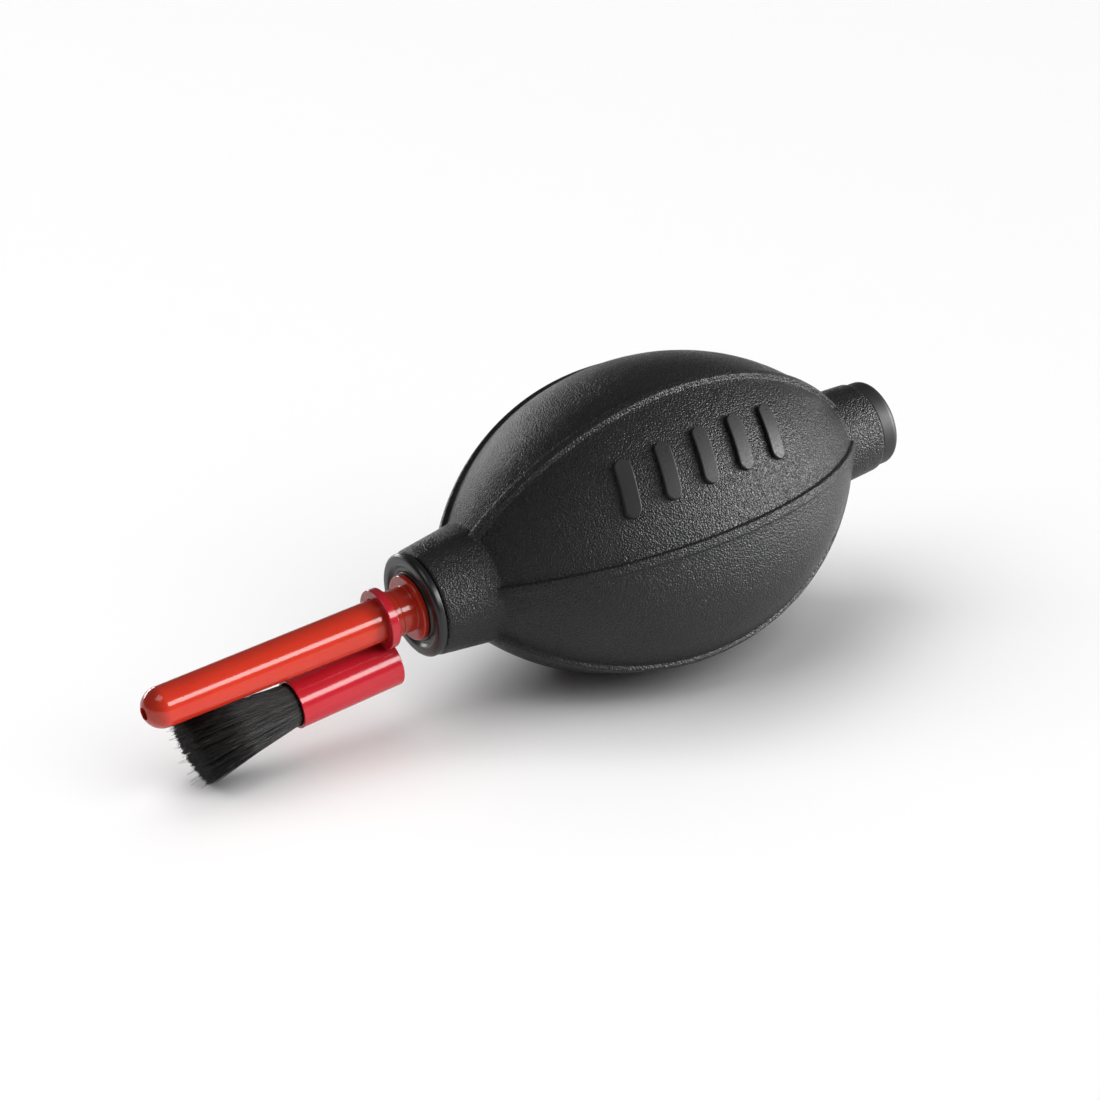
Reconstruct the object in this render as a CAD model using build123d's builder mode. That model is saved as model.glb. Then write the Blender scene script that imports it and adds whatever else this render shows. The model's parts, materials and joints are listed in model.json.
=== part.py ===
"""Hand dust blower: a ribbed rubber bulb with an inlet valve, a turning nozzle and a sliding brush.

The blower lies on a table at Z = 0, on its belly and on the lowest corner of its brush. Every
piece is drawn in the tool plane, which stands upright on the table: its X runs along the tool
axis from the bulb's crown towards the inlet valve, its Y points up, and its Z points to -Y of
the row. Stations along the tool axis are called "at" and are negative on the nozzle's side.
The row's origin is on the table, under the middle of the whole length, and +X runs to the rear.
"""
from math import asin, atan2, cos, degrees, hypot, radians, sin, sqrt
import os

from build123d import *

# ---- driving dimensions, mm ---------------------------------------------------------------
# rubber bulb
panel_radius = 31.4          # belly at the crown, on the smooth panels
panel_arc = 56.1             # radius of the belly's outline
rib_height = 0.9
rib_width = 2.0
rib_count = 6
rib_bite = 1.0               # how deep the ribs are drawn into the wall and the necks
neck_bite = 1.2
rib_lean = 15.5              # degrees from straight down to the rib on the +Y side, which lands
wall = 2.6
front_rim_at = -54.3
front_rim_radius = 10.9
front_neck_radius = 12.4     # where the front neck runs into the belly
front_bore_radius = 8.2
rear_rim_at = 53.2
rear_rim_radius = 9.4
rear_neck_radius = 9.9
rear_bore_radius = 6.6
settle = 0.15                # how far the soft belly and the bristle ends flatten on the table
under_table = (400.0, 200.0, 10.0)           # block below the table that cuts the soft pieces flat

# raised grip bars on the panel that faces the user's thumb
grip_bar_count = 5
grip_bar_length = 12.0
grip_bar_width = 3.4
grip_bar_pitch = 8.6
grip_bar_slant = 78.0        # degrees from the tool axis
grip_panel_lean = 134.5      # degrees from straight down, round to the -Y side
grip_bar_root = 25.4         # the bars are drawn from this far off the axis, inside the wall

# front bush
bush_lip_radius = 10.7
bush_lip_front_at = -56.3
bush_face_at = -56.1
bush_lip_round = 1.0
bush_groove_radius = 10.2
bush_groove_width = 0.3
bush_dish_radius = 7.6       # the face is dished between here and the lip
bush_dish_depth = 0.5
bush_bore_radius = 4.8
bush_inner_at = -46.0
barb_height = 0.5            # barbs that hold both plugs in the rubber
barb_length = 1.6
lead_in = 0.6                # chamfer on the inner end of both plugs

# nozzle
tube_root_radius = 4.36
tube_tip_radius = 4.15
tip_centre_at = -111.7       # centre of the round tip
outlet_radius = 1.25
outlet_length = 4.0
nozzle_bore_radius = 2.9
shoulder_at = -62.2          # the brush ring stops here
shoulder_radius = 4.7
flange_front_at = -57.3
flange_rear_at = -56.15
flange_radius = 6.7
turn_clearance = 0.05
snap_lip_height = 0.35

# brush
ring_rear_at = -62.3
ring_width = 1.9
ring_radius = 6.2
slide_clearance = 0.06
ferrule_rear_at = -61.95
ferrule_drop = 10.0          # from the tool axis down to the ferrule's rear end
ferrule_splay = 1.84         # degrees that the ferrule leans away from the nozzle
ferrule_length = 22.8
ferrule_radius = 5.0
ferrule_bore_radius = 4.4
ferrule_floor = 2.5
resin_depth = 3.0
root_clearance = 0.05
thread_from_resin = 2.5
thread_width = 2.5
thread_depth = 0.4
tuft_top = (-108.35, -5.0)   # upper and lower ends of the bristles' slanting front
tuft_bottom = (-104.2, -21.0)
tuft_half_depth = 6.5

# inlet valve
plug_radius = 8.9
plug_end_at = 57.2
plug_edge_radius = 1.6
plug_inner_at = 44.5
inlet_radius = 2.0
inlet_length = 2.0
chamber_radius = 4.8
seat_height = 0.4
seat_width = 0.7
flap_radius = 3.9
flap_thickness = 0.8
flap_lift = 0.8              # how far the flap can leave its seat
flap_clearance = 0.05        # between the shut flap and its seat
cage_thickness = 1.6
cage_rim = 1.0
cage_arm_width = 1.0
cage_arm_count = 3
cage_hub_radius = 1.3

# ---- worked-out dimensions ----------------------------------------------------------------
rib_arc = panel_arc + rib_height
arc_rise = panel_arc - panel_radius      # the belly's arc centre stands this far across the axis

# the table line runs from the bristles' lowest corner, tangent to the belly's arc
corner_at, corner_up = tuft_bottom
corner_reach = hypot(corner_at, arc_rise - corner_up)
tilt = asin(panel_arc / corner_reach) - atan2(arc_rise - corner_up, -corner_at)
axis_height = panel_arc - arc_rise * cos(tilt) - settle

tip_rim_at = tip_centre_at - sqrt(tube_tip_radius**2 - outlet_radius**2)
front_reach = tip_rim_at * cos(tilt) - outlet_radius * sin(tilt)
rear_reach = (
    (plug_end_at - plug_edge_radius) * cos(tilt)
    + (plug_radius - plug_edge_radius) * sin(tilt)
    + plug_edge_radius
)
crown_x = -(front_reach + rear_reach) / 2

tool = Plane(
    origin=(crown_x, 0, axis_height),
    x_dir=(cos(tilt), 0, sin(tilt)),
    z_dir=(0, -1, 0),
)
tool_axis = Axis(tool.origin, tool.x_dir)


def across(at, up=0.0):
    """Plane square to the tool axis, facing the rear, with its Y up."""
    return Plane(origin=tool.from_local_coords((at, up, 0)), x_dir=(0, 1, 0), z_dir=tool.x_dir)


def outward(lean):
    """Direction square to the tool axis, leaning from straight down round to the -Y side."""
    return tool.z_dir * sin(radians(lean)) - tool.y_dir * cos(radians(lean))


def lengthwise(lean):
    """Plane through the tool axis, with its Y outward at this lean."""
    return Plane(origin=tool.origin, x_dir=tool.x_dir, z_dir=tool.x_dir.cross(outward(lean)))


def station(radius, arc):
    """Distance from the crown to where an arc of the belly has this radius."""
    return sqrt(arc**2 - (radius + arc_rise) ** 2)


def barb(at, radius, towards):
    """Corner points of a barb: a ramp on the side that goes in first, and a step behind it."""
    return [(at, radius), (at, radius + barb_height), (at + towards * barb_length, radius)]


front_barb = barb(-51.5, front_bore_radius, 1)
rear_barb = barb(50.5, rear_bore_radius, -1)


# ---- rubber bulb --------------------------------------------------------------------------
def crescent(low, high):
    """Section of the belly between two offsets from the panel surface, from neck to neck."""
    front_radius = front_neck_radius - neck_bite
    rear_radius = rear_neck_radius - neck_bite
    high_front = (-station(front_radius, panel_arc + high), front_radius)
    high_rear = (station(rear_radius, panel_arc + high), rear_radius)
    low_front = (-station(front_radius, panel_arc + low), front_radius)
    low_rear = (station(rear_radius, panel_arc + low), rear_radius)
    with BuildSketch() as section:
        with BuildLine():
            ThreePointArc(high_front, (0, panel_radius + high), high_rear)
            Line(high_rear, low_rear)
            ThreePointArc(low_rear, (0, panel_radius + low), low_front)
            Line(low_front, high_front)
        make_face()
    return section.sketch


grip_face = Plane(origin=tool.origin, x_dir=tool.x_dir, z_dir=outward(grip_panel_lean))

with BuildPart() as grip_bars:
    with BuildSketch(grip_face.offset(grip_bar_root)):
        with GridLocations(grip_bar_pitch, 0, grip_bar_count, 1):
            SlotOverall(grip_bar_length, grip_bar_width, rotation=grip_bar_slant)
    extrude(amount=panel_radius + rib_height - grip_bar_root + 1)
    with BuildSketch(tool):
        add(crescent(-rib_bite, rib_height))
    revolve(axis=tool_axis, mode=Mode.INTERSECT)

with BuildPart() as bulb:
    with BuildSketch(tool):
        front_join = -station(front_neck_radius, panel_arc)
        rear_join = station(rear_neck_radius, panel_arc)
        chamber_front = -station(front_bore_radius, panel_arc - wall)
        chamber_rear = station(rear_bore_radius, panel_arc - wall)
        with BuildLine():
            Polyline(
                (front_rim_at, front_bore_radius),
                (front_rim_at, front_rim_radius - 0.5),
                (front_rim_at + 0.5, front_rim_radius),
                (front_join, front_neck_radius),
            )
            ThreePointArc(
                (front_join, front_neck_radius), (0, panel_radius), (rear_join, rear_neck_radius)
            )
            Polyline(
                (rear_join, rear_neck_radius),
                (rear_rim_at - 0.4, rear_rim_radius),
                (rear_rim_at, rear_rim_radius - 0.4),
                (rear_rim_at, rear_bore_radius),
                *rear_barb,
                (chamber_rear, rear_bore_radius),
            )
            ThreePointArc(
                (chamber_rear, rear_bore_radius),
                (0, panel_radius - wall),
                (chamber_front, front_bore_radius),
            )
            Polyline(
                (chamber_front, front_bore_radius),
                *reversed(front_barb),
                (front_rim_at, front_bore_radius),
            )
        make_face()
    revolve(axis=tool_axis)
    for number in range(rib_count):
        with BuildSketch(lengthwise(number * 360 / rib_count - rib_lean)):
            add(crescent(-rib_bite, rib_height))
        extrude(amount=rib_width / 2, both=True)
    add(grip_bars.part)
    with Locations((0, 0, -under_table[2] / 2)):
        Box(*under_table, mode=Mode.SUBTRACT)

# ---- front bush ---------------------------------------------------------------------------
with BuildPart() as front_bush:
    with BuildSketch(tool):
        lip_centre = bush_lip_radius - bush_lip_round
        dish_at = bush_face_at + bush_dish_depth
        groove_at = front_rim_at - bush_groove_width
        with BuildLine():
            Polyline(
                (bush_inner_at, bush_bore_radius),
                (bush_face_at, bush_bore_radius),
                (bush_face_at, bush_dish_radius - bush_dish_depth),
                (dish_at, bush_dish_radius),
                (dish_at, lip_centre - 0.9 * bush_lip_round),
            )
            ThreePointArc(
                (dish_at, lip_centre - 0.9 * bush_lip_round),
                (bush_lip_front_at, lip_centre),
                (bush_lip_front_at + bush_lip_round, bush_lip_radius),
            )
            Polyline(
                (bush_lip_front_at + bush_lip_round, bush_lip_radius),
                (groove_at, bush_lip_radius),
                (groove_at, bush_groove_radius),
                (front_rim_at, bush_groove_radius),
                (front_rim_at, front_bore_radius),
                *front_barb,
                (bush_inner_at - lead_in, front_bore_radius),
                (bush_inner_at, front_bore_radius - lead_in),
                (bush_inner_at, bush_bore_radius),
            )
        make_face()
    revolve(axis=tool_axis)

# ---- nozzle -------------------------------------------------------------------------------
spigot_radius = bush_bore_radius - turn_clearance
with BuildPart() as nozzle:
    with BuildSketch(tool):
        bore_end_at = tip_rim_at + outlet_length
        lip_at = bush_inner_at + 0.1
        root_end_at = lip_at + 1.4
        tip_shoulder = (tip_centre_at - tube_tip_radius * cos(radians(45)),
                        tube_tip_radius * sin(radians(45)))
        with BuildLine():
            ThreePointArc(
                (tip_rim_at, outlet_radius), tip_shoulder, (tip_centre_at, tube_tip_radius)
            )
            Polyline(
                (tip_centre_at, tube_tip_radius),
                (shoulder_at, tube_root_radius),
                (shoulder_at, shoulder_radius),
                (flange_front_at, shoulder_radius),
                (flange_front_at, flange_radius - 0.35),
                (flange_front_at + 0.35, flange_radius),
                (flange_rear_at, flange_radius),
                (flange_rear_at, spigot_radius),
                (lip_at, spigot_radius),
                (lip_at, spigot_radius + snap_lip_height),
                (lip_at + 0.4, spigot_radius + snap_lip_height),
                (root_end_at, spigot_radius - 0.4),
                (root_end_at, nozzle_bore_radius),
                (bore_end_at + 3.5, nozzle_bore_radius),
                (bore_end_at, outlet_radius),
                (tip_rim_at, outlet_radius),
            )
        make_face()
    revolve(axis=tool_axis)

# ---- brush --------------------------------------------------------------------------------
# the ferrule's own plane: X forward along its axis from its rear end, Y up
ferrule = Plane(
    origin=tool.from_local_coords((ferrule_rear_at, -ferrule_drop, 0)),
    x_dir=-tool.x_dir * cos(radians(ferrule_splay)) - tool.y_dir * sin(radians(ferrule_splay)),
    z_dir=-tool.z_dir,
)
ferrule_axis = Axis(ferrule.origin, ferrule.x_dir)

ring_front_at = ring_rear_at - ring_width
with BuildPart() as brush_carrier:
    with BuildSketch(tool):
        with BuildLine():
            Polyline(
                (ring_front_at, tube_root_radius + slide_clearance),
                (ring_front_at, ring_radius - 0.4),
                (ring_front_at + 0.4, ring_radius),
                (ring_rear_at - 0.4, ring_radius),
                (ring_rear_at, ring_radius - 0.4),
                (ring_rear_at, tube_root_radius + slide_clearance),
                close=True,
            )
        make_face()
    revolve(axis=tool_axis)
    with BuildSketch(ferrule):
        with BuildLine():
            Polyline(
                (0, 0),
                (0, ferrule_radius - 0.4),
                (0.4, ferrule_radius),
                (ferrule_length - 0.3, ferrule_radius),
                (ferrule_length, ferrule_radius - 0.3),
                (ferrule_length, ferrule_bore_radius),
                (ferrule_floor, ferrule_bore_radius),
                (ferrule_floor, 0),
                close=True,
            )
        make_face()
    revolve(axis=ferrule_axis)

resin_end = ferrule_floor + resin_depth
with BuildPart() as tuft_resin:
    with BuildSketch(ferrule):
        with Locations((ferrule_floor, 0)):
            Rectangle(resin_depth, ferrule_bore_radius - root_clearance, align=(Align.MIN, Align.MIN))
    revolve(axis=ferrule_axis)

tuft_root_radius = ferrule_bore_radius - root_clearance
thread_start = resin_end + thread_from_resin
thread_end = thread_start + thread_width
with BuildPart() as tuft_thread:
    with BuildSketch(ferrule):
        with Locations((thread_start, tuft_root_radius - thread_depth)):
            Rectangle(thread_width, thread_depth, align=(Align.MIN, Align.MIN))
    revolve(axis=ferrule_axis)

front_middle = ((tuft_top[0] + tuft_bottom[0]) / 2, (tuft_top[1] + tuft_bottom[1]) / 2)
front_rise = (tuft_top[0] - tuft_bottom[0], tuft_top[1] - tuft_bottom[1])
front_up = tool.x_dir * front_rise[0] + tool.y_dir * front_rise[1]
tuft_front = Plane(
    origin=tool.from_local_coords((*front_middle, 0)),
    x_dir=front_up,
    z_dir=front_up.cross(tool.z_dir),
)
ferrule_mouth = Plane(
    origin=ferrule.from_local_coords((ferrule_length, 0, 0)),
    x_dir=ferrule.y_dir,
    z_dir=ferrule.x_dir,
)
with BuildPart() as bristle_tuft:
    with BuildSketch(ferrule):
        with BuildLine():
            Polyline(
                (resin_end, 0),
                (resin_end, tuft_root_radius),
                (thread_start, tuft_root_radius),
                (thread_start, tuft_root_radius - thread_depth),
                (thread_end, tuft_root_radius - thread_depth),
                (thread_end, tuft_root_radius),
                (ferrule_length, tuft_root_radius),
                (ferrule_length, 0),
                close=True,
            )
        make_face()
    revolve(axis=ferrule_axis)
    with BuildSketch(ferrule_mouth):
        Circle(tuft_root_radius)
    with BuildSketch(tuft_front):
        Ellipse(hypot(*front_rise) / 2, tuft_half_depth)
    loft()
    with Locations((0, 0, -under_table[2] / 2)):
        Box(*under_table, mode=Mode.SUBTRACT)

# ---- inlet valve --------------------------------------------------------------------------
seat_at = plug_end_at - inlet_length
with BuildPart() as inlet_plug:
    with BuildSketch(tool):
        with BuildLine():
            Polyline(
                (plug_end_at, inlet_radius),
                (plug_end_at, plug_radius - plug_edge_radius),
            )
            ThreePointArc(
                (plug_end_at, plug_radius - plug_edge_radius),
                (plug_end_at - plug_edge_radius * (1 - cos(radians(45))),
                 plug_radius - plug_edge_radius * (1 - sin(radians(45)))),
                (plug_end_at - plug_edge_radius, plug_radius),
            )
            Polyline(
                (plug_end_at - plug_edge_radius, plug_radius),
                (rear_rim_at + 0.2, plug_radius),
                (rear_rim_at, plug_radius - 0.2),
                (rear_rim_at, rear_bore_radius),
                *rear_barb,
                (plug_inner_at + lead_in, rear_bore_radius),
                (plug_inner_at, rear_bore_radius - lead_in),
                (plug_inner_at, chamber_radius),
                (seat_at, chamber_radius),
                (seat_at, inlet_radius + seat_width),
                (seat_at - seat_height, inlet_radius + seat_width),
                (seat_at - seat_height, inlet_radius),
                (plug_end_at, inlet_radius),
            )
        make_face()
    revolve(axis=tool_axis)

flap_rear_at = seat_at - seat_height - flap_clearance
flap_front_at = flap_rear_at - flap_thickness
with BuildPart() as inlet_flap:
    with BuildSketch(across(flap_front_at)):
        Circle(flap_radius)
    extrude(amount=flap_thickness)

cage_at = flap_front_at - flap_lift - flap_clearance - cage_thickness
with BuildPart() as flap_cage:
    with BuildSketch(across(cage_at)):
        Circle(chamber_radius)
        Circle(chamber_radius - cage_rim, mode=Mode.SUBTRACT)
        Circle(cage_hub_radius)
        with PolarLocations(0, cage_arm_count, start_angle=90):
            Rectangle(chamber_radius - cage_rim / 2, cage_arm_width, align=(Align.MIN, Align.CENTER))
    extrude(amount=cage_thickness)

# ---- pieces -------------------------------------------------------------------------------
pieces = {
    "bulb": bulb,
    "front_bush": front_bush,
    "nozzle": nozzle,
    "brush_carrier": brush_carrier,
    "tuft_resin": tuft_resin,
    "tuft_thread": tuft_thread,
    "bristle_tuft": bristle_tuft,
    "inlet_plug": inlet_plug,
    "inlet_flap": inlet_flap,
    "flap_cage": flap_cage,
}
os.makedirs("parts", exist_ok=True)
for name, piece in pieces.items():
    piece.part.label = name
    export_step(piece.part, f"parts/{name}.step")

print("tilt, degrees:", round(degrees(tilt), 4))
for label, point in {
    "crown on the tool axis": (0, 0, 0),
    "outlet rim": (tip_rim_at, 0, 0),
    "inlet mouth": (plug_end_at, 0, 0),
    "belly's rest": (-panel_arc * sin(tilt), arc_rise - panel_arc * cos(tilt), 0),
}.items():
    print(label, tool.from_local_coords(point))
print("tool axis", tool.x_dir)
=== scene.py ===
"""Looks of a hand dust blower: a ribbed rubber bulb, a red nozzle, a sliding brush and a valve.

Every piece is made in the tool's own frame, in millimetres: X runs along the tool axis from the
bulb's crown towards the inlet, Y points to the row's +Y and Z points up. ToolFrame takes it from
there to the row's frame, in metres. Stations along the axis are called "at", and are negative on
the nozzle's side.
"""
from __future__ import annotations

import json
import logging
import random
from dataclasses import dataclass, field
from enum import Enum
from math import acos, asin, cos, pi, radians, sin, sqrt

import bmesh
import bpy
from mathutils import Matrix, Vector


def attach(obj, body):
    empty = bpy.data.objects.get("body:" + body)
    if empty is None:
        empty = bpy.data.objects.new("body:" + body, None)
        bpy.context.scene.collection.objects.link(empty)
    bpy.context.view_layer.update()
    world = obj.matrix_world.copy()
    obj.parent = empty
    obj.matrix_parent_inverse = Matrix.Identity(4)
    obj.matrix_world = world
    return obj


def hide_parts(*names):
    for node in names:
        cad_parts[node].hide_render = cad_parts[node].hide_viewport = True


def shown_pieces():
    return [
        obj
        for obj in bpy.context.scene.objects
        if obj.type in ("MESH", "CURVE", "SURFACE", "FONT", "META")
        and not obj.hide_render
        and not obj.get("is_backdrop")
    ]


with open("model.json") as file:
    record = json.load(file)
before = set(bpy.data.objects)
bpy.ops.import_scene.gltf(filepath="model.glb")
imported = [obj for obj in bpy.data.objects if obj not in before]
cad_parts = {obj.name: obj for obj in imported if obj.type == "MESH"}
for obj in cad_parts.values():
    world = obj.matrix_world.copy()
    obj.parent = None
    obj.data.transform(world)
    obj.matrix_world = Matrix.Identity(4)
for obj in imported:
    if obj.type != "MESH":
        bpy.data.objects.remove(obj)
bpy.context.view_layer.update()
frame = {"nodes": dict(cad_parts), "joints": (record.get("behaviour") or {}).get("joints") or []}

log = logging.getLogger("dust_blower")
MM = 0.001
Point = tuple[float, float]             # station along the tool axis and radius, in millimetres
Profile = list[Point]
Corner = tuple[float, float, float]     # station, radius and corner radius, in millimetres
Shape = bmesh.types.BMesh
Node, Socket, Tree = bpy.types.Node, bpy.types.NodeSocket, bpy.types.NodeTree


class Body(Enum):
    """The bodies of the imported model, which pieces ride on."""

    BLOWER = "blower"
    NOZZLE = "nozzle"
    BRUSH = "brush"


@dataclass(frozen=True)
class ToolFrame:
    """Where the tool lies: its crown on the tool axis, and the way the axis points.

    Attributes:
        crown: the bulb's widest place on the tool axis, in metres.
        along: unit vector from the nozzle towards the inlet.
    """

    crown: Vector
    along: Vector

    @classmethod
    def from_joint(cls, name: str, anchor_at: float) -> ToolFrame:
        """Reads the frame from a joint that turns about the tool axis.

        Args:
            name: the joint's name.
            anchor_at: the station of the joint's anchor, in millimetres.

        Returns:
            The tool's frame.
        """
        joint = next(j for j in frame["joints"] if j["name"] == name)
        along = Vector(joint["axis"]).normalized()
        return cls(crown=Vector(joint["pos_m"]) - along * anchor_at * MM, along=along)

    @property
    def matrix(self) -> Matrix:
        """From the tool's own millimetres to the row's metres."""
        up = self.along.cross(Vector((0, 1, 0)))
        turn = Matrix((self.along, (0, 1, 0), up)).transposed().to_4x4()
        return Matrix.Translation(self.crown) @ turn @ Matrix.Scale(MM, 4)


TOOL = ToolFrame.from_joint("nozzle_turn", anchor_at=-55.0)


# ---- small tools ----
def linear(hex_colour: str) -> tuple[float, float, float, float]:
    """Turns an sRGB hex colour to linear light.

    Args:
        hex_colour: six hex digits, with or without a leading #.

    Returns:
        Red, green, blue and an alpha of 1.
    """
    digits = hex_colour.lstrip("#")
    shares = [int(digits[i:i + 2], 16) / 255 for i in (0, 2, 4)]
    light = [s / 12.92 if s <= 0.04045 else ((s + 0.055) / 1.055) ** 2.4 for s in shares]
    return (*light, 1.0)


def add_node(tree: Tree, kind: str, settings: dict | None = None,
             links: dict | None = None) -> Node:
    """Adds a node to a material's tree.

    Args:
        tree: the material's node tree.
        kind: the node's type name.
        settings: values for its sockets or, where it has no such socket, for its own properties.
        links: which output feeds which of its sockets.

    Returns:
        The new node.
    """
    node = tree.nodes.new(kind)
    for name, value in (settings or {}).items():
        if isinstance(name, int) or name in node.inputs:
            node.inputs[name].default_value = value
        else:
            setattr(node, name, value)
    for name, output in (links or {}).items():
        tree.links.new(output, node.inputs[name])
    return node


def blend_step(share: float) -> float:
    """Smooth step from 0 to 1, clamped at both ends."""
    share = min(max(share, 0.0), 1.0)
    return share * share * (3 - 2 * share)


def round_corner(corner: Point, before: Point, after: Point, radius: float,
                 steps: int = 4) -> Profile:
    """Rounds one corner of a profile with an arc.

    Args:
        corner: the sharp corner.
        before: the point that the profile comes from.
        after: the point that it goes to.
        radius: the arc's radius, in millimetres.
        steps: how many chords the arc is drawn with.

    Returns:
        The arc's points, from the side of before to the side of after.
    """
    middle = Vector(corner)
    back = (Vector(before) - middle).normalized()
    ahead = (Vector(after) - middle).normalized()
    half = acos(max(-1.0, min(1.0, back.dot(ahead)))) / 2
    centre = middle + (back + ahead).normalized() * (radius / sin(half))
    reach = radius * cos(half) / sin(half)
    start, end = middle + back * reach - centre, middle + ahead * reach - centre
    # slerp gives unit vectors, which the radius scales
    return [tuple(centre + start.slerp(end, step / steps) * radius) for step in range(steps + 1)]


def rounded(points: list[Corner], steps: int = 4) -> Profile:
    """Rounds the corners of a closed profile.

    Args:
        points: its corners.
        steps: how many chords an arc is drawn with.

    Returns:
        The profile's points, with an arc for each corner that has a radius.
    """
    outline: Profile = []
    for index, (at, radius, corner_radius) in enumerate(points):
        if corner_radius == 0:
            outline.append((at, radius))
            continue
        before = points[index - 1][:2]
        after = points[(index + 1) % len(points)][:2]
        outline += round_corner((at, radius), before, after, corner_radius, steps)
    return outline


def barb(at: float, radius: float, inwards: int) -> list[Corner]:
    """Makes the barb that holds a plug in its neck.

    Args:
        at: the station of its step.
        radius: the plug's radius.
        inwards: which way it slopes, 1 or -1 along the axis.

    Returns:
        Its corners, from the step to the end of the slope.
    """
    height, slope, edge = 0.5, 1.6, 0.1
    return [(at, radius, 0), (at, radius + height, edge), (at + slope * inwards, radius, 0)]


def spun(outline: Profile, steps: int) -> Shape:
    """Spins a profile about the X axis to a closed skin.

    Args:
        outline: the profile. One that starts on the axis also ends there.
        steps: how many faces go round.

    Returns:
        A new bmesh, in the profile's own frame.
    """
    made = bmesh.new()
    points = [made.verts.new((at, 0, radius)) for at, radius in outline]
    ahead = points[1:] if outline[0][1] == 0 else points[1:] + points[:1]
    lines = [made.edges.new(pair) for pair in zip(points, ahead)]
    bmesh.ops.spin(made, geom=points + lines, cent=(0, 0, 0), axis=(1, 0, 0), angle=2 * pi,
                   steps=steps, use_merge=True)
    bmesh.ops.remove_doubles(made, verts=made.verts, dist=1e-5)
    bmesh.ops.recalc_face_normals(made, faces=made.faces)
    return made


def joined(shapes: list[Shape]) -> Shape:
    """Puts several bmeshes into the first one and frees the others.

    Args:
        shapes: the bmeshes, all in the same frame.

    Returns:
        The first of them, which holds them all.
    """
    first, *others = shapes
    for other in others:
        part = bpy.data.meshes.new("part")
        other.to_mesh(part)
        other.free()
        first.from_mesh(part)
        bpy.data.meshes.remove(part)
    return first


# ---- finishes ----
@dataclass(frozen=True)
class Detail:
    """What a finish varies over its surface.

    Attributes:
        colours: the two shades that the surface turns between, as sRGB hex.
        share: how much of the second shade there is.
        height: the relief, or None where the surface is smooth.
        relief: how high a height of 1 stands, in millimetres.
        strength: how fully the relief shows.
        roughness: the roughness, or None where it is even.
    """

    colours: tuple[str, str]
    share: Socket
    height: Socket | None = None
    relief: float = 0.0
    strength: float = 1.0
    roughness: Socket | None = None


@dataclass(frozen=True)
class Finish:
    """A material of the real tool.

    Attributes:
        name: the material's common name and how its surface was made.
        slot: the record's material slot; nothing in this script reads it.
        colour: sRGB hex.
        roughness: typical roughness of the finish.
        ior: index of refraction.
    """

    name: str
    slot: str
    colour: str
    roughness: float
    ior: float = 1.5

    def material(self) -> bpy.types.Material:
        """Makes the material with its pattern.

        Returns:
            The new material.
        """
        made = bpy.data.materials.new(self.name)
        made.use_nodes = True
        tree = made.node_tree
        shader = tree.nodes["Principled BSDF"]
        shader.inputs["Base Color"].default_value = linear(self.colour)
        shader.inputs["Roughness"].default_value = self.roughness
        shader.inputs["IOR"].default_value = self.ior
        place = add_node(tree, "ShaderNodeTexCoord").outputs["Object"]
        detail = self.pattern(tree, shader, place)
        first, second = (linear(colour) for colour in detail.colours)
        tint = add_node(tree, "ShaderNodeMix", {"data_type": "RGBA", 6: first, 7: second},
                        {0: detail.share})
        tree.links.new(tint.outputs[2], shader.inputs["Base Color"])
        if detail.roughness is not None:
            tree.links.new(detail.roughness, shader.inputs["Roughness"])
        if detail.height is not None:
            bump = add_node(tree, "ShaderNodeBump",
                            {"Strength": detail.strength, "Distance": detail.relief * MM},
                            {"Height": detail.height})
            tree.links.new(bump.outputs["Normal"], shader.inputs["Normal"])
        return made

    def pattern(self, tree: Tree, shader: Node, place: Socket) -> Detail:
        """Adds the finish's own textures.

        Args:
            tree: the material's node tree.
            shader: its Principled BSDF.
            place: Object coordinates, in metres.

        Returns:
            What they vary.
        """
        raise NotImplementedError


def per_mm(size: float) -> float:
    """Texture scale, on Object coordinates in metres, of a feature of this size in millimetres."""
    return 1 / (size * MM)


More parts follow.
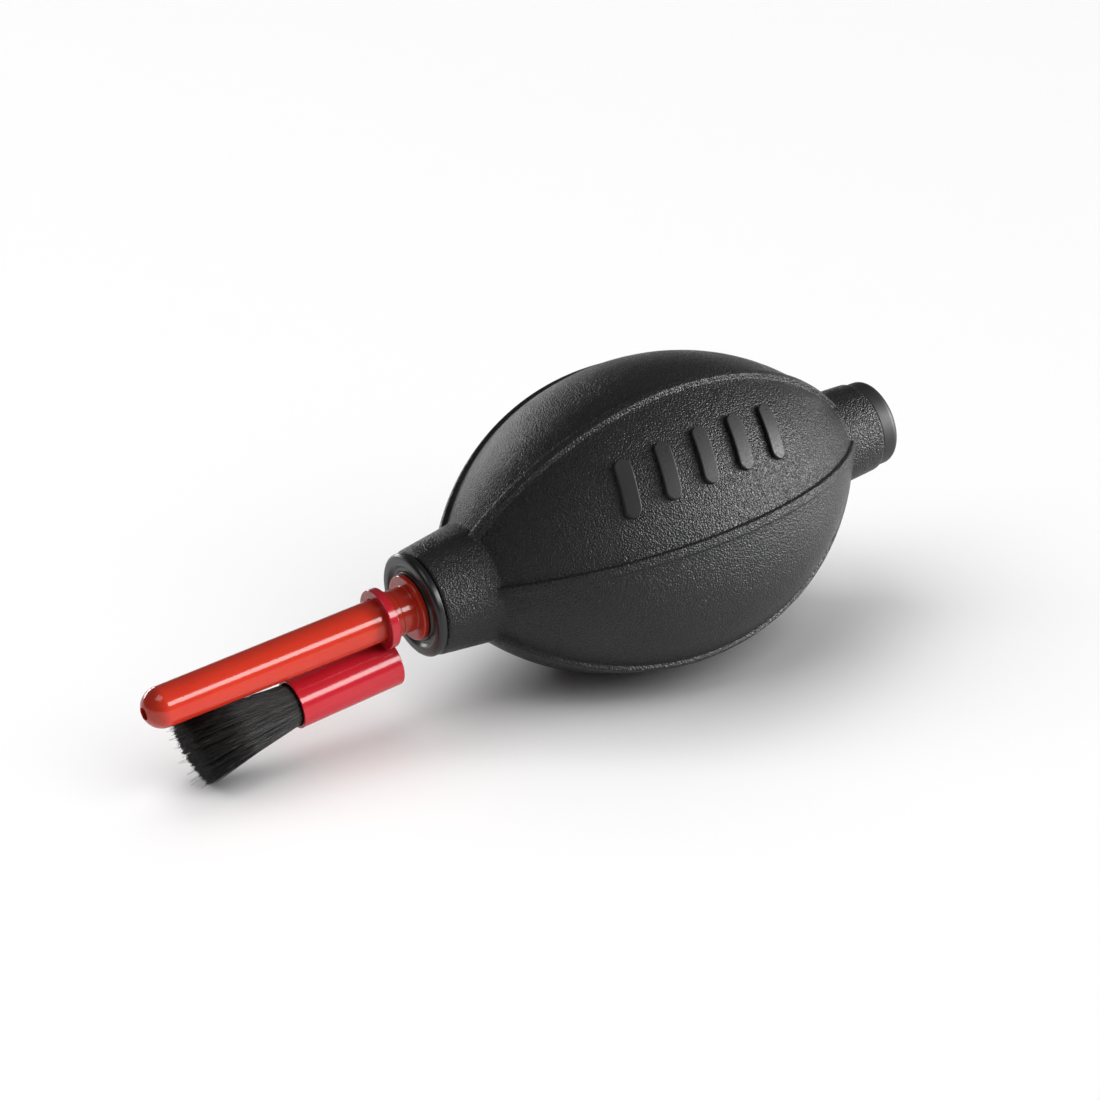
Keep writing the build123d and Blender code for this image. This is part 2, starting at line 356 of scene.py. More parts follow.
@dataclass(frozen=True)
class GrainedRubber(Finish):
    """Compression-moulded soft rubber from a spark-eroded mould: matt black skin with a fine
    leather grain, whose rounded pebbles catch the light as sparkle while the valleys stay dark.

    Attributes:
        pebble: size of one pebble of the grain, in millimetres, near its real size.
        valley: depth of the grain, in millimetres.
        strength: how fully the grain shows.
        pale_colour: the shade where handling has polished the skin.
        wander: how far the pebbles stray from even rows, in millimetres.
        handled: size of a patch polished by handling, in millimetres.
        polish: how much such a patch changes the roughness.
        sparkle: how much the roughness differs from pebble to pebble.
    """

    pebble: float = 0.36
    valley: float = 0.17
    strength: float = 1.0
    pale_colour: str = "#1B1B1C"
    wander: float = 0.3
    handled: float = 14.0
    polish: float = 0.05
    sparkle: float = 0.12

    def pattern(self, tree: Tree, shader: Node, place: Socket) -> Detail:
        """Adds the pebbled grain, its wrinkles and the uneven polish."""
        warp = add_node(tree, "ShaderNodeTexNoise",
                        {"Scale": per_mm(self.pebble * 2), "Detail": 2.0}, {"Vector": place})
        bent = add_node(tree, "ShaderNodeVectorMath",
                        {"operation": "MULTIPLY_ADD", 1: (self.wander * MM,) * 3},
                        {0: warp.outputs["Color"], 2: place})
        pebbles = add_node(tree, "ShaderNodeTexVoronoi",
                           {"feature": "SMOOTH_F1", "Scale": per_mm(self.pebble),
                            "Smoothness": 0.35},
                           {"Vector": bent.outputs["Vector"]})
        wrinkles = add_node(tree, "ShaderNodeTexNoise",
                            {"Scale": per_mm(self.pebble * 0.9), "Detail": 1.0, "Roughness": 0.5},
                            {"Vector": place})
        height = add_node(tree, "ShaderNodeMath", {"operation": "SUBTRACT"},
                          {0: wrinkles.outputs["Fac"], 1: pebbles.outputs["Distance"]})
        handled = add_node(tree, "ShaderNodeTexNoise",
                           {"Scale": per_mm(self.handled), "Detail": 3.0, "Roughness": 0.55},
                           {"Vector": place})
        polish = add_node(tree, "ShaderNodeMapRange",
                          {"From Min": 0.35, "From Max": 0.7,
                           "To Min": self.roughness + self.polish,
                           "To Max": self.roughness - self.polish},
                          {"Value": handled.outputs["Fac"]})
        gloss = add_node(tree, "ShaderNodeMapRange",
                         {"From Min": 0.3, "From Max": 0.7,
                          "To Min": self.sparkle, "To Max": -self.sparkle},
                         {"Value": wrinkles.outputs["Fac"]})
        rough = add_node(tree, "ShaderNodeMath", {"operation": "ADD"},
                         {0: polish.outputs["Result"], 1: gloss.outputs["Result"]})
        return Detail((self.colour, self.pale_colour), handled.outputs["Fac"],
                      height.outputs["Value"], self.valley, self.strength,
                      roughness=rough.outputs["Value"])


@dataclass(frozen=True)
class MouldedPlastic(Finish):
    """Injection-moulded plastic from a polished mould: a clean gloss with faint waves where the
    melt flowed, fine handling scuffs that dull it, and slight shade changes in the pigment.

    Attributes:
        deep_colour: the shade where the pigment lies thicker.
        scuff: how much the scuffs raise the roughness.
        glow: share of the light that spreads below the surface.
        flow: size of the flow waves, in millimetres.
        wave: height of the flow waves, in millimetres.
        scratch: size of a scuff, in millimetres.
        pigment_patch: size of a patch of one shade, in millimetres.
        glow_depth: how deep red light spreads, in millimetres.
        glow_spread: the share of that depth which red, green and blue reach.
    """

    deep_colour: str = "#000000"
    scuff: float = 0.08
    glow: float = 0.0
    flow: float = 6.0
    wave: float = 0.012
    scratch: float = 0.9
    pigment_patch: float = 9.0
    glow_depth: float = 0.4
    glow_spread: tuple[float, float, float] = (1.0, 0.12, 0.06)

    def pattern(self, tree: Tree, shader: Node, place: Socket) -> Detail:
        """Adds the flow waves, the scuffs and the shade changes."""
        waves = add_node(tree, "ShaderNodeTexNoise", {"Scale": per_mm(self.flow), "Detail": 1.0},
                         {"Vector": place})
        scuffs = add_node(tree, "ShaderNodeTexNoise",
                          {"Scale": per_mm(self.scratch), "Detail": 5.0, "Roughness": 0.65},
                          {"Vector": place})
        dulled = add_node(tree, "ShaderNodeMapRange",
                          {"From Min": 0.45, "From Max": 0.75, "To Min": self.roughness,
                           "To Max": self.roughness + self.scuff},
                          {"Value": scuffs.outputs["Fac"]})
        pigment = add_node(tree, "ShaderNodeTexNoise",
                           {"Scale": per_mm(self.pigment_patch), "Detail": 2.0},
                           {"Vector": place})
        shader.inputs["Subsurface Weight"].default_value = self.glow
        shader.inputs["Subsurface Radius"].default_value = self.glow_spread
        shader.inputs["Subsurface Scale"].default_value = self.glow_depth * MM
        return Detail((self.colour, self.deep_colour), pigment.outputs["Fac"],
                      waves.outputs["Fac"], self.wave, 0.5, roughness=dulled.outputs["Result"])


@dataclass(frozen=True)
class BrushHair(Finish):
    """Dyed black goat hair: its locks differ a little in brown-black, with a low sheen along them.

    Attributes:
        pale_colour: the shade of the palest locks.
        lock: width of a lock of one shade, in millimetres.
        streak: how many times longer than wide a lock is.
    """

    pale_colour: str = "#4A4744"
    lock: float = 0.3
    streak: float = 30.0

    def pattern(self, tree: Tree, shader: Node, place: Socket) -> Detail:
        """Adds the difference from lock to lock, and the scales that soften the shine."""
        turn = (TOOL.matrix @ Brush().ferrule).to_euler()
        lengthwise = add_node(tree, "ShaderNodeMapping",
                              {"vector_type": "TEXTURE", "Rotation": turn,
                               "Scale": (self.streak, 1.0, 1.0)},
                              {"Vector": place})
        hairs = add_node(tree, "ShaderNodeTexNoise", {"Scale": per_mm(self.lock), "Detail": 1.0},
                         {"Vector": lengthwise.outputs["Vector"]})
        shade = add_node(tree, "ShaderNodeMapRange", {"From Min": 0.54, "From Max": 0.74},
                         {"Value": hairs.outputs["Fac"]})
        scales = add_node(tree, "ShaderNodeMapRange",
                          {"To Min": self.roughness + 0.15, "To Max": self.roughness - 0.1},
                          {"Value": hairs.outputs["Fac"]})
        return Detail((self.colour, self.pale_colour), shade.outputs["Result"],
                      roughness=scales.outputs["Result"])


@dataclass(frozen=True)
class WaxedThread(Finish):
    """Twisted linen thread drawn through beeswax: its strands slant round it under the wax.

    Attributes:
        shadow_colour: the shade between two strands.
        strand: radius of a strand, in millimetres.
    """

    shadow_colour: str = "#8C7A58"
    strand: float = 0.35

    def pattern(self, tree: Tree, shader: Node, place: Socket) -> Detail:
        """Adds the twisted strands and their ridges."""
        radians_per_unit = 20    # how fast a wave texture of scale 1 turns
        twist = add_node(tree, "ShaderNodeTexWave",
                         {"Scale": per_mm(self.strand) / radians_per_unit, "Distortion": 1.5,
                          "bands_direction": "DIAGONAL"},
                         {"Vector": place})
        return Detail((self.shadow_colour, self.colour), twist.outputs["Fac"],
                      twist.outputs["Fac"], relief=0.03, strength=0.6)


@dataclass(frozen=True)
class SettingResin(Finish):
    """Cast polyester resin, set in the ferrule: amber and glossy, with bubbles and dark clouds."""

    deep_colour: str = "#6B3A0E"

    def pattern(self, tree: Tree, shader: Node, place: Socket) -> Detail:
        """Adds the clouds and the bubbles under the surface."""
        clouds = add_node(tree, "ShaderNodeTexNoise", {"Scale": per_mm(2.0), "Detail": 3.0},
                          {"Vector": place})
        bubbles = add_node(tree, "ShaderNodeTexVoronoi", {"Scale": per_mm(0.8)}, {"Vector": place})
        return Detail((self.colour, self.deep_colour), clouds.outputs["Fac"],
                      bubbles.outputs["Distance"], relief=0.05, strength=0.3)


@dataclass(frozen=True)
class SheetRubber(Finish):
    """Die-cut silicone sheet: mid grey, matt, with talc left in a faint calender grain."""

    talc_colour: str = "#A9A9A6"

    def pattern(self, tree: Tree, shader: Node, place: Socket) -> Detail:
        """Adds the talc and the grain."""
        talc = add_node(tree, "ShaderNodeTexNoise",
                        {"Scale": per_mm(0.5), "Detail": 4.0, "Roughness": 0.6}, {"Vector": place})
        return Detail((self.colour, self.talc_colour), talc.outputs["Fac"], talc.outputs["Fac"],
                      relief=0.02, strength=0.4)


RUBBER_GRAINED = GrainedRubber("Grained_black_rubber", "bulb_rubber", "#101011", 0.38, 1.40)
RUBBER_POLISHED = GrainedRubber("Mould_polished_black_rubber", "bulb_rubber", "#19191A", 0.5, 1.40,
                                valley=0.03, strength=0.4, pale_colour="#202021")
BUSH_BLACK = MouldedPlastic("Polished_black_polypropylene", "bush_plastic", "#0E0E0F", 0.30,
                            deep_colour="#141415")
PLUG_BLACK = MouldedPlastic("Satin_black_polypropylene", "plug_plastic", "#101011", 0.50,
                            deep_colour="#171718")
NOZZLE_RED = MouldedPlastic("Glossy_orange_red_styrene", "nozzle_red", "#B62F1D", 0.13, 1.50,
                            deep_colour="#AA2918", scuff=0.05, glow=0.2)
CARRIER_RED = MouldedPlastic("Glossy_crimson_styrene", "carrier_red", "#AF1C29", 0.14, 1.52,
                             deep_colour="#A21723", scuff=0.05, glow=0.2)
CAGE_WHITE = MouldedPlastic("Natural_white_nylon", "cage_plastic", "#E6E4DC", 0.42,
                            deep_colour="#D9D6CB", glow=0.2)
HAIR_BLACK = BrushHair("Dyed_black_goat_hair", "bristles", "#070606", 0.34)
THREAD_LINEN = WaxedThread("Waxed_linen_thread", "thread", "#CDBE98", 0.55)
RESIN_AMBER = SettingResin("Cast_amber_resin", "resin", "#A8651C", 0.15)
FLAP_GREY = SheetRubber("Die_cut_grey_silicone", "flap_rubber", "#8A8A88", 0.6)


def finish_piece(shape: Shape, name: str, finish: Finish, body: Body, stands_for: str,
                 sharp_above: float = 50.0, flat_faces: bool = False) -> bpy.types.Object:
    """Turns a shape in the tool's frame to a finished piece of the object.

    Args:
        shape: the bmesh, in the tool's own frame; it is freed.
        name: the piece's name.
        finish: what it is made of.
        body: the body that it rides on.
        stands_for: the CAD node that it replaces.
        sharp_above: edges that turn by more than this many degrees stay sharp.
        flat_faces: whether its wide faces are shaded flat, and only its rounded edges look round.

    Returns:
        The piece's object, at the origin, with its place in its mesh.
    """
    bmesh.ops.transform(shape, matrix=TOOL.matrix, verts=shape.verts)
    for face in shape.faces:
        face.smooth = True
    for edge in shape.edges:
        edge.smooth = len(edge.link_faces) == 2 and edge.calc_face_angle() < radians(sharp_above)
    mesh = bpy.data.meshes.new(name)
    shape.to_mesh(mesh)
    shape.free()
    mesh.materials.append(finish.material())
    piece = bpy.data.objects.new(name, mesh)
    bpy.context.scene.collection.objects.link(piece)
    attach(piece, body.value)
    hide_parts(stands_for)
    if flat_faces:
        evened = piece.modifiers.new("flat_faces", "WEIGHTED_NORMAL")
        evened.keep_sharp = True
        evened.weight = 100
    log.info("%s: %d faces on %s", name, len(mesh.polygons), body.value)
    return piece


# ---- rubber bulb ----
@dataclass
class RubberBulb:
    """The bulb: a belly of revolution with six flat-topped ribs between two round necks.

    Its skin is one grid, rolled round the tool axis and along the closed section of the wall, so
    that the ribs' edges follow the grid's own lines.
    """

    panel_radius: float = 31.4
    panel_arc: float = 56.1
    wall: float = 2.6
    rib_height: float = 0.9
    rib_half_width: float = 1.0
    rib_count: int = 6
    rib_lean: float = -15.5          # degrees from straight down to the rib nearest the table
    columns_per_rib: int = 16
    front_rim_at: float = -54.3
    front_rim_radius: float = 10.9
    front_neck_radius: float = 12.4
    front_neck_at: float = -42.3
    front_bore_radius: float = 8.2
    rear_rim_at: float = 53.2
    rear_rim_radius: float = 9.4
    rear_neck_radius: float = 9.9
    rear_neck_at: float = 44.1
    rear_bore_radius: float = 6.6
    rim_round: float = 0.8
    crease: float = 0.45             # how softly the belly runs into the necks
    plain_reach: float = 36.0        # no neck comes nearer to the crown than this
    bar_count: int = 5
    bar_length: float = 12.0
    bar_width: float = 3.4
    bar_pitch: float = 8.6
    bar_slant: float = 78.0
    bar_lean: float = 134.5
    bar_sunk: float = 0.5            # how deep a bar's foot goes into the wall
    bar_edge: float = 0.3
    bar_material: int = 1            # the bars' place in the skin's list of materials

    @property
    def arc_rise(self) -> float:
        """How far the belly's arc centre stands across the axis."""
        return self.panel_arc - self.panel_radius

    def belly(self, at: float, proud: float) -> float:
        """Radius of the belly's outline, offset outwards by proud."""
        return sqrt((self.panel_arc + proud) ** 2 - at ** 2) - self.arc_rise

    def neck(self, at: float) -> float:
        """Radius of the neck on this side of the crown."""
        if at < 0:
            share = (at - self.front_rim_at) / (self.front_neck_at - self.front_rim_at)
            return self.front_rim_radius + share * (self.front_neck_radius - self.front_rim_radius)
        share = (self.rear_rim_at - at) / (self.rear_rim_at - self.rear_neck_at)
        return self.rear_rim_radius + share * (self.rear_neck_radius - self.rear_rim_radius)

    def outer(self, at: float, proud: float) -> float:
        """Radius of the outside, where belly and neck meet in a soft crease."""
        high, low = self.belly(at, proud), self.neck(at)
        if abs(at) < self.plain_reach:
            return high
        share = blend_step(0.5 + (high - low) / (2 * self.crease))
        return low + (high - low) * share + self.crease * share * (1 - share) * 0.5

    def stations(self) -> list[float]:
        """Where the rows of the outside stand, close together at the creases."""
        # start, end and number of rows of each stretch: neck, crease, belly, crease, neck
        stretches = ((-53.5, -44.6, 8), (-44.6, -40.6, 14), (-40.6, 42.4, 60),
                     (42.4, 46.2, 13), (46.2, 52.4, 6))
        rows = [start + (end - start) * step / count
                for start, end, count in stretches for step in range(count)]
        return rows + [stretches[-1][1]]

    def section(self) -> list[tuple[float, float | None]]:
        """Closed section of the wall.

        Returns:
            Station and radius of each row, with no radius on the outside, where the ribs set it.
        """
        outside = self.stations()
        front_corner = round_corner((self.front_rim_at, self.front_rim_radius),
                                    (self.front_rim_at, 0), (outside[0], self.neck(outside[0])),
                                    self.rim_round)
        rear_corner = round_corner((self.rear_rim_at, self.rear_rim_radius),
                                   (outside[-1], self.neck(outside[-1])), (self.rear_rim_at, 0),
                                   self.rim_round)
        inner_arc = self.panel_arc - self.wall
        reach_front = sqrt(inner_arc ** 2 - (self.front_bore_radius + self.arc_rise) ** 2)
        reach_rear = sqrt(inner_arc ** 2 - (self.rear_bore_radius + self.arc_rise) ** 2)
        inner_rows = 26
        edge, lip, run_out = 0.2, 1.6, 0.5    # rows that hold the rims and the necks' inner ends
        rear_lip, rear_edge = 0.9, 0.1
        inside = [reach_rear - (reach_rear + reach_front) * step / inner_rows
                  for step in range(inner_rows + 1)]
        return [
            (self.front_rim_at, self.front_bore_radius + edge),
            (self.front_rim_at, self.front_rim_radius - lip),
            *front_corner[:-1],
            *((at, None) for at in outside),
            *rear_corner[1:],
            (self.rear_rim_at, self.rear_bore_radius + rear_lip),
            (self.rear_rim_at, self.rear_bore_radius + rear_edge),
            (self.rear_rim_at - edge, self.rear_bore_radius),
            (reach_rear + run_out, self.rear_bore_radius),
            *((at, self.belly(at, -self.wall)) for at in inside),
            (-reach_front - run_out, self.front_bore_radius),
            (self.front_rim_at + edge, self.front_bore_radius),
        ]

    def column(self, index: int, radius: float) -> tuple[float, float]:
        """Where a column of the grid lies.

        Args:
            index: the column's number, round the whole bulb.
            radius: the belly's radius at the row.

        Returns:
            The lean in radians, and how far a rib stands proud there, in millimetres.
        """
        half = self.columns_per_rib // 2
        step = (index + half) % self.columns_per_rib - half
        rib = (index - step) // self.columns_per_rib
        sector = 2 * pi / self.rib_count
        # across the rib: its flat top, rounded edge, flank and foot, and the panel beside it
        across = (0.0, 0.62, 0.88, 1.04, 1.16, 1.6)
        proud = (1.0, 1.0, 0.93, 0.42, 0.04, 0.0)
        last = len(across) - 1
        size = abs(step)
        foot = asin(across[min(size, last)] * self.rib_half_width / radius)
        if size > last:
            foot += (sector / 2 - foot) * (size - last) / (half - last)
        height = proud[size] if size <= last else 0.0
        lean = radians(self.rib_lean) + rib * sector + (foot if step > 0 else -foot)
        return lean, height * self.rib_height

    def skin(self) -> Shape:
        """Rolls the grid into the bulb's closed wall.

        Returns:
            The wall in the tool's frame.
        """
        rows = self.section()
        columns = self.rib_count * self.columns_per_rib
        made = bmesh.new()
        bmesh.ops.create_grid(made, x_segments=len(rows), y_segments=columns, size=1.0)
        for vert in made.verts:
            row = round((vert.co.x + 1) / 2 * len(rows)) % len(rows)
            number = round((vert.co.y + 1) / 2 * columns)
            at, radius = rows[row]
            lean, proud = self.column(number, radius or max(self.belly(at, 0), self.neck(at)))
            reach = radius or self.outer(at, proud)
            vert.co = (at, -reach * sin(lean), -reach * cos(lean))
        bmesh.ops.remove_doubles(made, verts=made.verts, dist=1e-4)
        bmesh.ops.recalc_face_normals(made, faces=made.faces)
        return made

    def grip_bar(self, number: int) -> Shape:
        """Makes one slanting bar, bent on to the belly.

        Args:
            number: which bar, counted from the nozzle's side.

        Returns:
            The bar in the tool's frame, with its foot sunk in the wall.
        """
        made = bmesh.new()
        bmesh.ops.create_grid(made, x_segments=8, y_segments=26, size=1.0)
        half = self.bar_width / 2
        for vert in made.verts:
            along = sin(vert.co.y * pi / 2) * self.bar_length / 2
            past = max(abs(along) - self.bar_length / 2 + half, 0.0)
            vert.co = (vert.co.x * sqrt(max(half ** 2 - past ** 2, 0.0)), along, -self.bar_sunk)
        bmesh.ops.remove_doubles(made, verts=made.verts, dist=1e-4)
        grown = bmesh.ops.extrude_face_region(made, geom=made.faces[:], use_keep_orig=True)["geom"]
        top = {part for part in grown if isinstance(part, bmesh.types.BMFace)}
        bmesh.ops.translate(made, vec=(0, 0, self.bar_sunk + self.rib_height),
                            verts=list({vert for face in top for vert in face.verts}))
        rim = [edge for edge in {edge for face in top for edge in face.edges}
               if any(face not in top for face in edge.link_faces)]
        bmesh.ops.bevel(made, geom=rim, offset=self.bar_edge, offset_type="OFFSET", segments=3,
                        profile=0.5, affect="EDGES", material=-1)
        place = (number - (self.bar_count - 1) / 2) * self.bar_pitch
        slant, lean = radians(self.bar_slant), radians(self.bar_lean)
        outward, around = Vector((0, -sin(lean), -cos(lean))), Vector((0, -cos(lean), sin(lean)))
        for vert in made.verts:
            at = place + vert.co.y * cos(slant) - vert.co.x * sin(slant)
            aside = vert.co.y * sin(slant) + vert.co.x * cos(slant)
            reach = sqrt(self.belly(at, vert.co.z) ** 2 - aside ** 2)
            vert.co = Vector((at, 0, 0)) + outward * reach + around * aside
        bmesh.ops.recalc_face_normals(made, faces=made.faces)
        for face in made.faces:
            face.material_index = self.bar_material
        return made

    def build(self) -> None:
        """Makes the bulb, rounded by subdivision, with a grain all over but for the bars."""
        shape = joined([self.skin(), *(self.grip_bar(number) for number in range(self.bar_count))])
        bulb = finish_piece(shape, "bulb_skin", RUBBER_GRAINED, Body.BLOWER, "bulb", 180.0)
        bulb.data.materials.append(RUBBER_POLISHED.material())
        for vert in bulb.data.vertices:
            vert.co.z = max(vert.co.z, 0.0)
        rounding = bulb.modifiers.new("rounding", "SUBSURF")
        rounding.levels = 1
        rounding.render_levels = 1


# ---- plugs, nozzle and valve ----
@dataclass
class FrontBush:
    """The black bush in the bulb's front neck, with a domed lip and a dished face."""

    bore_radius: float = 4.8
    neck_radius: float = 8.2
    lip_radius: float = 10.7
    lip_front_at: float = -56.3
    face_at: float = -56.1
    dish_depth: float = 0.5
    groove_radius: float = 10.2
    groove_width: float = 0.3
    rim_at: float = -54.3
    barb_at: float = -51.5
    inner_at: float = -46.0

    def build(self) -> None:
        """Makes the bush."""
        dish_at = self.face_at + self.dish_depth
        groove_at = self.rim_at - self.groove_width
        outline = rounded([
            (self.inner_at, self.bore_radius, 0.2),
            (self.face_at, self.bore_radius, 0.2),
            (self.face_at, 7.0, 0.15),
            (dish_at, 7.3, 0.15),
            (dish_at, 7.9, 0.3),
            (self.lip_front_at, 8.6, 0.7),
            (self.lip_front_at, self.lip_radius, 0.95),
            (groove_at, self.lip_radius, 0.1),
            (groove_at, self.groove_radius, 0.05),
            (self.rim_at, self.groove_radius, 0),
            (self.rim_at, self.neck_radius, 0),
            *barb(self.barb_at, self.neck_radius, 1),
            (self.inner_at, self.neck_radius, 0.5),
        ], 6)
        finish_piece(spun(outline, 128), "front_bush_turned", BUSH_BLACK, Body.BLOWER,
                     "front_bush", flat_faces=True)


@dataclass
class Nozzle:
    """The red nozzle: a long round-tipped tube, a stepped neck, a flange and a snap-in spigot."""

    root_radius: float = 4.36
    tip_radius: float = 4.15
    tip_centre_at: float = -111.7
    outlet_radius: float = 1.25
    outlet_edge: float = 0.12        # how far the outlet's edge is eased
    outlet_length: float = 4.0
    outlet_cone: float = 3.5         # where the bore narrows to the outlet
    bore_radius: float = 2.9
    shoulder_at: float = -62.2
    collar_radius: float = 4.78
    collar_rear_at: float = -60.5
    neck_radius: float = 4.6
    flange_front_at: float = -57.3
    flange_rear_at: float = -56.15
    flange_radius: float = 6.7
    spigot_radius: float = 4.75
    lip_at: float = -45.9
    lip_height: float = 0.35
    lip_width: float = 0.4
    taper_length: float = 1.4        # the spigot's tapered end, from the lip
    taper_depth: float = 0.4

    def tip(self) -> Profile:
        """The round tip, from the outlet's edge to the tube, with the edge eased."""
        start = asin((self.outlet_radius + self.outlet_edge) / self.tip_radius)
        steps = 14
        turns = [start + (pi / 2 - start) * step / steps for step in range(steps + 1)]
        return [(self.tip_centre_at - self.tip_radius * cos(turn), self.tip_radius * sin(turn))
                for turn in turns]

    def build(self) -> None:
        """Makes the nozzle."""
        tip_rim_at = self.tip_centre_at - sqrt(self.tip_radius ** 2 - self.outlet_radius ** 2)
        bore_end_at = tip_rim_at + self.outlet_length
        behind = rounded([
            (self.shoulder_at, self.root_radius, 0),
            (self.shoulder_at, self.collar_radius, 0.15),
            (self.collar_rear_at, self.collar_radius, 0.15),
            (self.collar_rear_at, self.neck_radius, 0.15),
            (self.flange_front_at, self.neck_radius, 0.25),
            (self.flange_front_at, self.flange_radius, 0.3),
            (self.flange_rear_at, self.flange_radius, 0.3),
            (self.flange_rear_at, self.spigot_radius, 0),
            (self.lip_at, self.spigot_radius, 0),
            (self.lip_at, self.spigot_radius + self.lip_height, 0.1),
            (self.lip_at + self.lip_width, self.spigot_radius + self.lip_height, 0.1),
            (self.lip_at + self.taper_length, self.spigot_radius - self.taper_depth, 0.1),
            (self.lip_at + self.taper_length, self.bore_radius, 0.1),
            (bore_end_at + self.outlet_cone, self.bore_radius, 0),
            (bore_end_at, self.outlet_radius, 0),
            (tip_rim_at + self.outlet_edge, self.outlet_radius, 0),
        ])
        finish_piece(spun(self.tip() + behind, 96), "nozzle_moulded", NOZZLE_RED, Body.NOZZLE,
                     "nozzle", flat_faces=True)


@dataclass
class InletPlug:
    """The black plug in the bulb's rear neck, with the inlet and the valve's chamber."""

    radius: float = 8.9
    end_at: float = 57.2
    edge_radius: float = 1.6
    rim_at: float = 53.2
    neck_radius: float = 6.6
    barb_at: float = 50.5
    inner_at: float = 44.5
    inlet_radius: float = 2.0
    inlet_length: float = 2.0
    chamber_radius: float = 4.8
    seat_height: float = 0.4
    seat_width: float = 0.7

    def build(self) -> None:
        """Makes the plug."""
        floor_at = self.end_at - self.inlet_length
        outline = rounded([
            (self.end_at, self.inlet_radius, 0.25),
            (self.end_at, self.radius, self.edge_radius),
            (self.rim_at, self.radius, 0.2),
            (self.rim_at, self.neck_radius, 0),
            *barb(self.barb_at, self.neck_radius, -1),
            (self.inner_at, self.neck_radius, 0.5),
            (self.inner_at, self.chamber_radius, 0.1),
            (floor_at, self.chamber_radius, 0),
            (floor_at, self.inlet_radius + self.seat_width, 0),
            (floor_at - self.seat_height, self.inlet_radius + self.seat_width, 0.1),
            (floor_at - self.seat_height, self.inlet_radius, 0.1),
        ], 8)
        finish_piece(spun(outline, 128), "inlet_plug_moulded", PLUG_BLACK, Body.BLOWER,
                     "inlet_plug", flat_faces=True)


